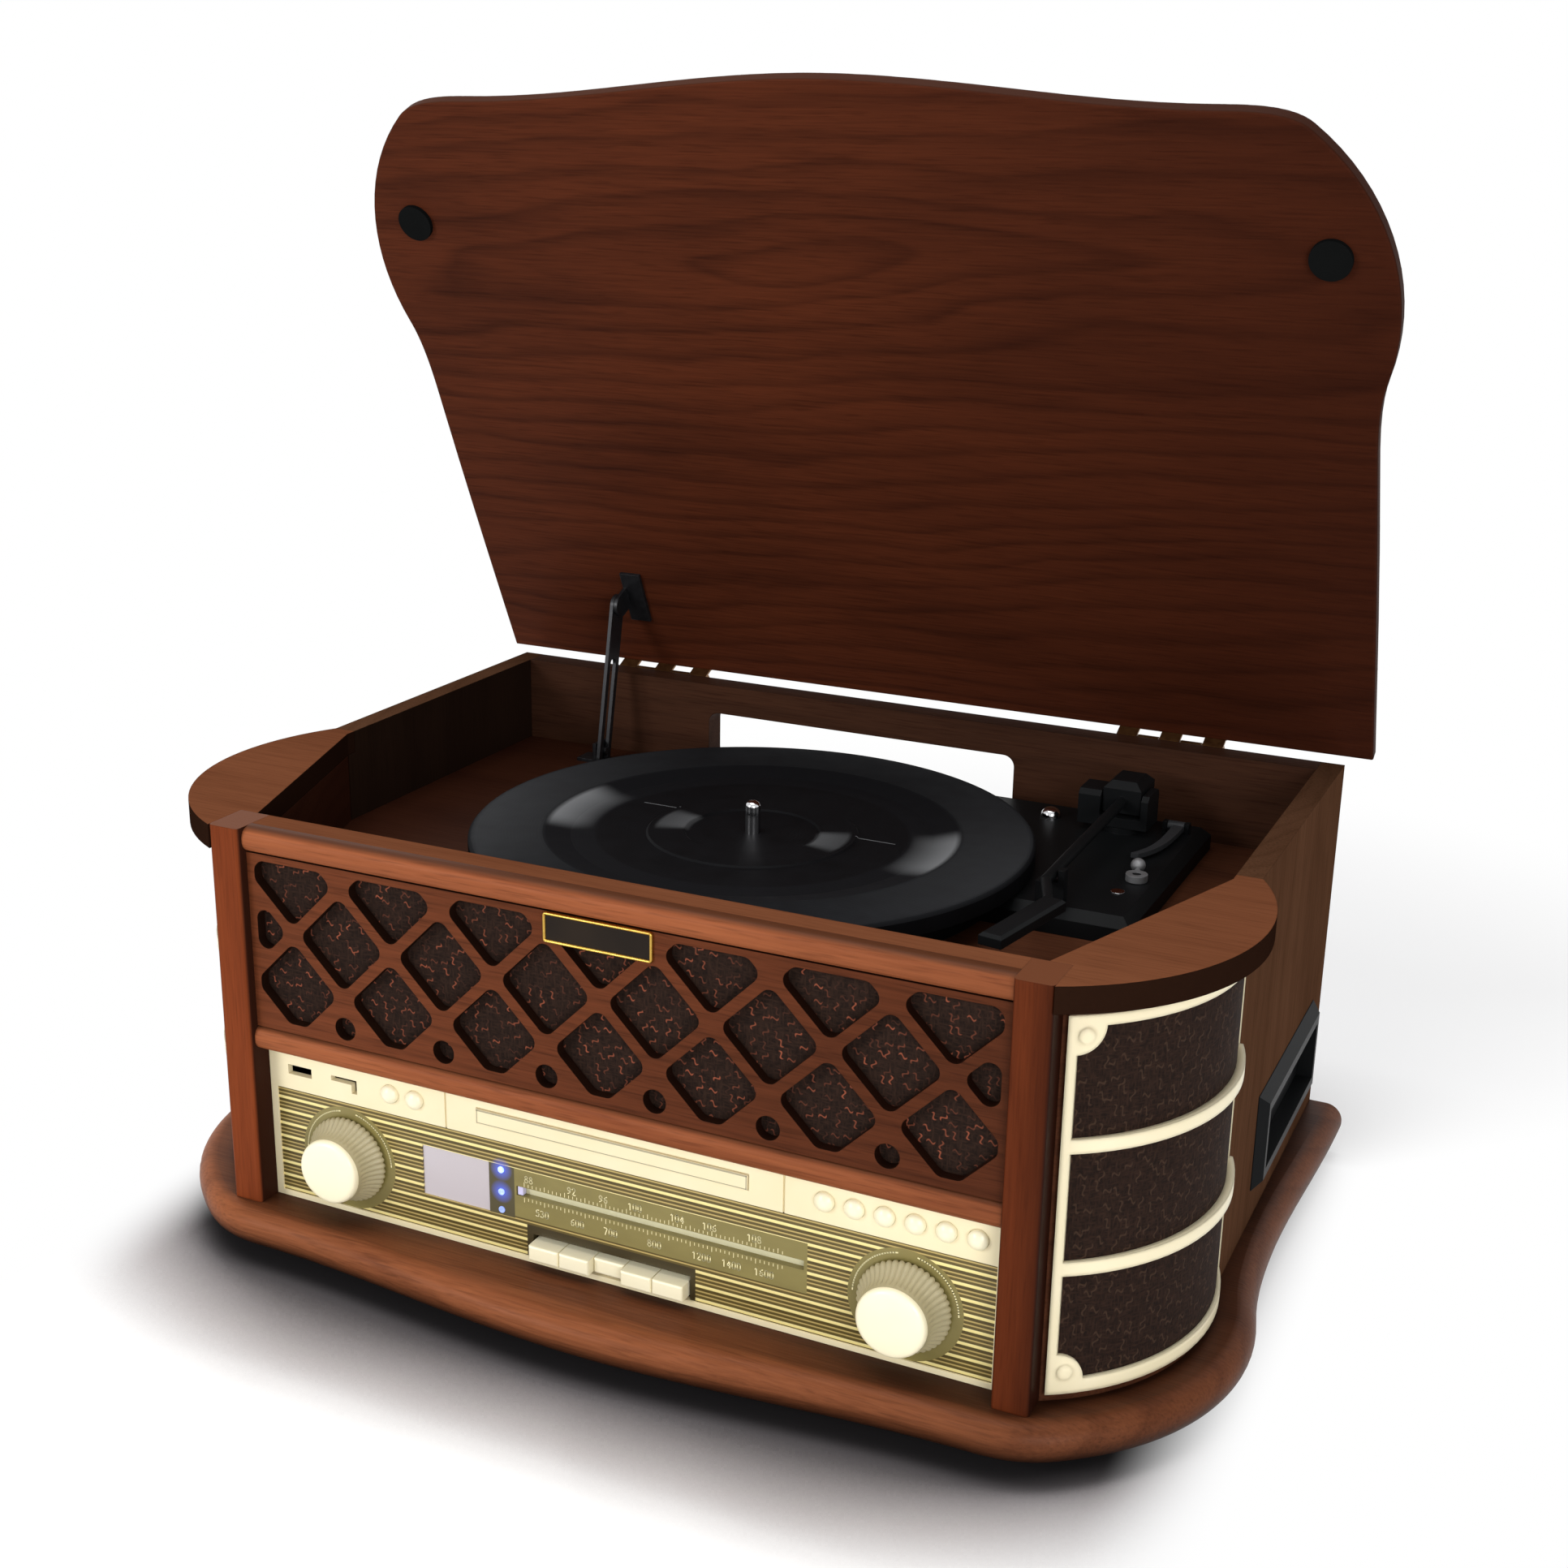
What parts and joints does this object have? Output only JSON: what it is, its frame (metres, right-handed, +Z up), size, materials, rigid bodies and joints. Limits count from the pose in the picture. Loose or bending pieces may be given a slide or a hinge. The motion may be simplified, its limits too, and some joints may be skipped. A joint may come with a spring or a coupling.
{
  "type": "record player with radio",
  "caption": "Wooden retro music centre with a record player under a hinged lid, radio dial, CD tray, cassette slot and side speakers behind cream frames.",
  "frame": {"origin": "on the ground under the middle of the whole object with the lid open", "axes": "+Z up, -Y out of the front with the dial, +X to the right of someone facing the front"},
  "size_m": [0.5096, 0.3632, 0.517],
  "materials": {
    "mahogany_wood": "satin red-brown veneer",
    "trim_wood": "satin lighter moulding",
    "board_wood": "dark stained board",
    "cream_plastic": "cream gloss",
    "black_plastic": "fine satin black",
    "soft_rubber": "matte",
    "speaker_cloth": "woven, flecked",
    "gold_trim": "bright rim on black",
    "dial_print": "striped gold print",
    "clear_pane": "clear",
    "blue_lens": "clear blue",
    "driver_steel": "black",
    "bare_steel": "plain sheet",
    "chrome_trim": "polished",
    "circuit_board": "green lacquer",
    "bronze_hinge": "dark bronze",
    "black_metal": "black",
    "pale_pointer": "pale lilac"
  },
  "bodies": {
    "cabinet": {"plinth_base": "mahogany_wood", "rubber_feet": "soft_rubber", "side_walls": "mahogany_wood", "rear_panel": "mahogany_wood", "top_frame": "mahogany_wood", "front_posts": "mahogany_wood", "front_mouldings": "trim_wood", "grille_fret": "mahogany_wood", "grille_cloths": "speaker_cloth", "badge_plate": "gold_trim", "well_boards": "mahogany_wood", "radio_fascia": "cream_plastic", "dial_plate": "dial_print", "display_windows": "clear_pane", "indicator_lenses": "blue_lens", "speaker_frames": "cream_plastic", "speaker_baffles": "board_wood", "speaker_drivers": "driver_steel", "turntable_deck": "black_plastic", "drive_motor": "bare_steel", "drive_belt": "soft_rubber", "platter_spindle": "chrome_trim", "cassette_bezel": "black_plastic", "cassette_mechanism": "bare_steel", "cd_mechanism": "bare_steel", "main_circuit_board": "circuit_board", "power_transformer": "bare_steel", "mains_inlet": "black_plastic", "cabinet_hinge_leaves": "bronze_hinge", "stay_guide": "bronze_hinge", "fixing_screws": "chrome_trim"},
    "lid": {"lid_panel": "mahogany_wood", "lid_bumpers": "soft_rubber", "lid_hinge_leaves": "bronze_hinge", "stay_lid_bracket": "black_metal"},
    "stay_arm": {"stay_arm": "bronze_hinge"},
    "volume_knob": {"volume_knob": "cream_plastic"},
    "tuning_knob": {"tuning_knob": "cream_plastic"},
    "dial_pointer": {"dial_pointer": "pale_pointer"},
    "cd_tray": {"cd_tray": "cream_plastic"},
    "platter": {"platter": "black_plastic"},
    "motor_pulley": {"motor_pulley": "chrome_trim"},
    "tonearm_gimbal": {"tonearm_gimbal": "black_plastic"},
    "tonearm": {"tonearm": "black_plastic"},
    "cue_lever": {"cue_lever": "black_plastic"},
    "speed_selector": {"speed_selector": "chrome_trim"},
    "cassette_door": {"cassette_door": "black_plastic"},
    "band_key_1": {"band_key_1": "cream_plastic"},
    "band_key_2": {"band_key_2": "cream_plastic"},
    "band_key_3": {"band_key_3": "cream_plastic"},
    "band_key_4": {"band_key_4": "cream_plastic"},
    "band_key_5": {"band_key_5": "cream_plastic"},
    "mode_button_1": {"mode_button_1": "cream_plastic"},
    "mode_button_2": {"mode_button_2": "cream_plastic"},
    "track_button_1": {"track_button_1": "cream_plastic"},
    "track_button_2": {"track_button_2": "cream_plastic"},
    "track_button_3": {"track_button_3": "cream_plastic"},
    "track_button_4": {"track_button_4": "cream_plastic"},
    "track_button_5": {"track_button_5": "cream_plastic"},
    "track_button_6": {"track_button_6": "cream_plastic"}
  },
  "joints": [
    {"name": "lid_hinge", "type": "hinge", "parent": "cabinet", "child": "lid", "pos_m": [0, 0.16978, 0.2018], "axis": [1, 0, 0], "range_deg": [0, 64.5]},
    {"name": "stay_pivot", "type": "hinge", "parent": "lid", "child": "stay_arm", "pos_m": [-0.16, 0.14481, 0.24485], "axis": [1, 0, 0], "range_deg": [-37.5, 0]},
    {"name": "volume_turn", "type": "hinge", "parent": "cabinet", "child": "volume_knob", "pos_m": [-0.1335, -0.14592, 0.053], "axis": [0, 1, 0], "range_deg": [-150, 150]},
    {"name": "tuning_turn", "type": "hinge", "parent": "cabinet", "child": "tuning_knob", "pos_m": [0.1335, -0.14592, 0.053], "axis": [0, 1, 0], "range_deg": [0, 540]},
    {"name": "pointer_travel", "type": "slide", "parent": "cabinet", "child": "dial_pointer", "axis": [1, 0, 0], "range_m": [0, 0.1301]},
    {"name": "band_key_1_press", "type": "slide", "parent": "cabinet", "child": "band_key_1", "axis": [0, 1, 0], "range_m": [0, 0.004], "stiffness_N_per_m": 150},
    {"name": "band_key_2_press", "type": "slide", "parent": "cabinet", "child": "band_key_2", "axis": [0, 1, 0], "range_m": [0, 0.004], "stiffness_N_per_m": 150},
    {"name": "band_key_3_press", "type": "slide", "parent": "cabinet", "child": "band_key_3", "axis": [0, 1, 0], "range_m": [-0.004, 0]},
    {"name": "band_key_4_press", "type": "slide", "parent": "cabinet", "child": "band_key_4", "axis": [0, 1, 0], "range_m": [0, 0.004], "stiffness_N_per_m": 150},
    {"name": "band_key_5_press", "type": "slide", "parent": "cabinet", "child": "band_key_5", "axis": [0, 1, 0], "range_m": [0, 0.004], "stiffness_N_per_m": 150},
    {"name": "mode_button_1_press", "type": "slide", "parent": "cabinet", "child": "mode_button_1", "axis": [0, 1, 0], "range_m": [0, 0.0012], "stiffness_N_per_m": 300},
    {"name": "mode_button_2_press", "type": "slide", "parent": "cabinet", "child": "mode_button_2", "axis": [0, 1, 0], "range_m": [0, 0.0012], "stiffness_N_per_m": 300},
    {"name": "track_button_1_press", "type": "slide", "parent": "cabinet", "child": "track_button_1", "axis": [0, 1, 0], "range_m": [0, 0.0012], "stiffness_N_per_m": 300},
    {"name": "track_button_2_press", "type": "slide", "parent": "cabinet", "child": "track_button_2", "axis": [0, 1, 0], "range_m": [0, 0.0012], "stiffness_N_per_m": 300},
    {"name": "track_button_3_press", "type": "slide", "parent": "cabinet", "child": "track_button_3", "axis": [0, 1, 0], "range_m": [0, 0.0012], "stiffness_N_per_m": 300},
    {"name": "track_button_4_press", "type": "slide", "parent": "cabinet", "child": "track_button_4", "axis": [0, 1, 0], "range_m": [0, 0.0012], "stiffness_N_per_m": 300},
    {"name": "track_button_5_press", "type": "slide", "parent": "cabinet", "child": "track_button_5", "axis": [0, 1, 0], "range_m": [0, 0.0012], "stiffness_N_per_m": 300},
    {"name": "track_button_6_press", "type": "slide", "parent": "cabinet", "child": "track_button_6", "axis": [0, 1, 0], "range_m": [0, 0.0012], "stiffness_N_per_m": 300},
    {"name": "tray_slide", "type": "slide", "parent": "cabinet", "child": "cd_tray", "axis": [0, -1, 0], "range_m": [0, 0.12]},
    {"name": "platter_spin", "type": "hinge", "parent": "cabinet", "child": "platter", "pos_m": [-0.0104, 0.00878, 0.182], "axis": [0, 0, -1], "continuous": true},
    {"name": "pulley_spin", "type": "hinge", "parent": "cabinet", "child": "motor_pulley", "pos_m": [-0.06626, 0.06464, 0.166], "axis": [0, 0, -1], "continuous": true},
    {"name": "tonearm_swing", "type": "hinge", "parent": "cabinet", "child": "tonearm_gimbal", "pos_m": [0.138, 0.11788, 0.1753], "axis": [0, 0, -1], "range_deg": [0, 37]},
    {"name": "tonearm_lift", "type": "hinge", "parent": "tonearm_gimbal", "child": "tonearm", "pos_m": [0.138, 0.11788, 0.188], "axis": [-1, 0, 0], "range_deg": [0, 2.85]},
    {"name": "cue_turn", "type": "hinge", "parent": "cabinet", "child": "cue_lever", "pos_m": [0.162, 0.12488, 0.1749], "axis": [-1, 0, 0], "range_deg": [0, 20]},
    {"name": "speed_turn", "type": "hinge", "parent": "cabinet", "child": "speed_selector", "pos_m": [0.1636, 0.04888, 0.173], "axis": [0, 0, 1], "range_deg": [-15, 15]},
    {"name": "cassette_flap", "type": "hinge", "parent": "cabinet", "child": "cassette_door", "pos_m": [0.2269, 0.08428, 0.079], "axis": [0, 1, 0], "range_deg": [0, 55]}
  ],
  "couplings": [
    {"joint": "stay_pivot", "follows": "lid_hinge", "ratio": -0.568},
    {"joint": "pointer_travel", "follows": "tuning_turn", "m_per_rad": 0.013793},
    {"joint": "pulley_spin", "follows": "platter_spin", "ratio": 10.545},
    {"joint": "tonearm_lift", "follows": "cue_turn", "ratio": 0.14}
  ]
}
